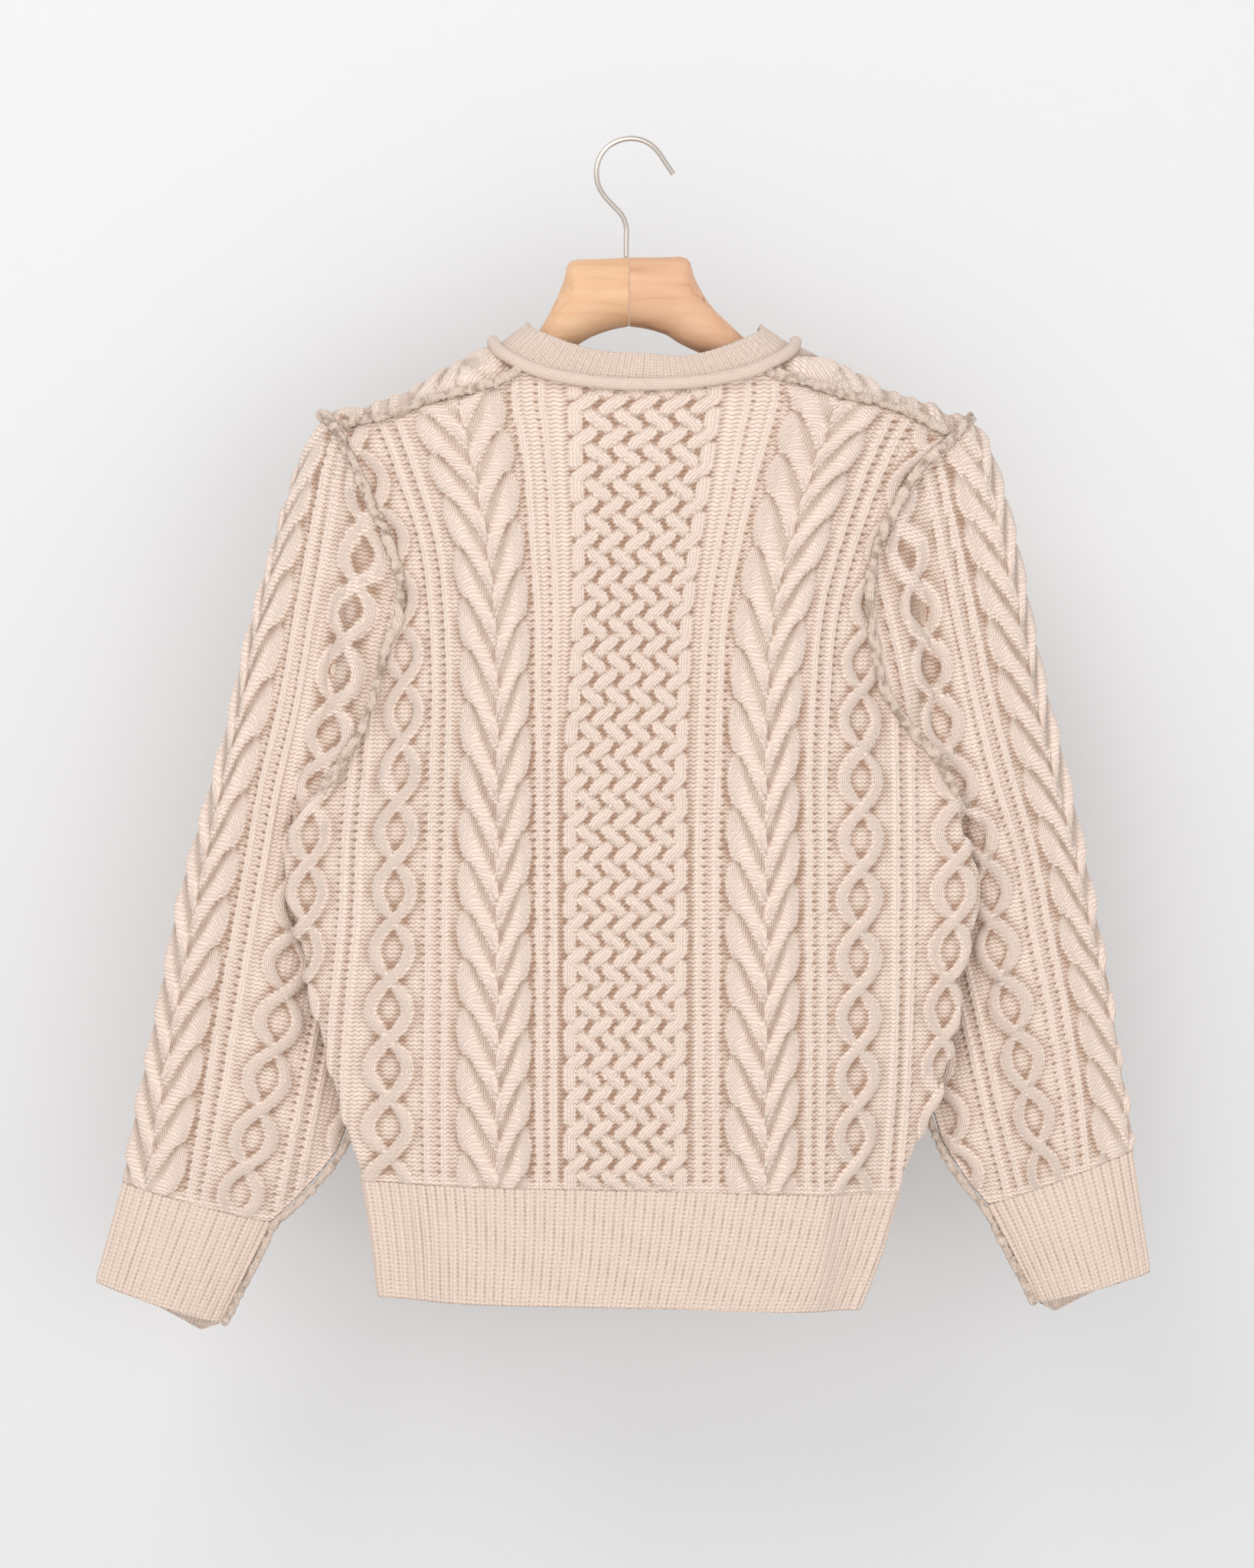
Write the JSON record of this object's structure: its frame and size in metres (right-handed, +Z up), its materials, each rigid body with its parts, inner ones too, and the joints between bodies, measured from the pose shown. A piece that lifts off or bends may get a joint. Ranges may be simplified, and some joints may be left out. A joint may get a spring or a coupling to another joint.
{
  "type": "cable knit sweater on a wooden hanger",
  "caption": "Crew-neck cable knit sweater with ribbed hem and cuffs, back to the view, hung on a mitred wooden hanger with a wire hook.",
  "frame": {"origin": "underside of the crest of the hanger's hook, where it hangs on a nail or a rail", "axes": "+Z up, +X to the right of a viewer who faces the garment's back, -Y towards that viewer, +Y towards the garment's front"},
  "size_m": [0.6598, 0.0777, 0.7477],
  "materials": {
    "cable_knit": "soft matte wool, cables on purl grounds",
    "rib_knit": "soft matte wool, one by one rib",
    "plain_knit": "soft matte wool, rolled plain knit",
    "raw_seam": "fuzzy raw seam edge",
    "hanger_wood": "satin clear lacquer",
    "hook_wire": "satin champagne plating"
  },
  "bodies": {
    "root": {"back_panel": "cable_knit", "front_panel": "cable_knit", "hem_rib": "rib_knit", "sleeve_left": "cable_knit", "sleeve_right": "cable_knit", "cuff_left": "rib_knit", "cuff_right": "rib_knit", "neckband": "rib_knit", "neck_roll": "plain_knit", "shoulder_seam_left": "raw_seam", "shoulder_seam_right": "raw_seam", "armhole_seam_left": "raw_seam", "armhole_seam_right": "raw_seam", "side_seam_left": "raw_seam", "side_seam_right": "raw_seam", "sleeve_seam_left": "raw_seam", "sleeve_seam_right": "raw_seam", "hanger_arm_left": "hanger_wood", "hanger_arm_right": "hanger_wood", "hanger_hook": "hook_wire"}
  },
  "joints": []
}
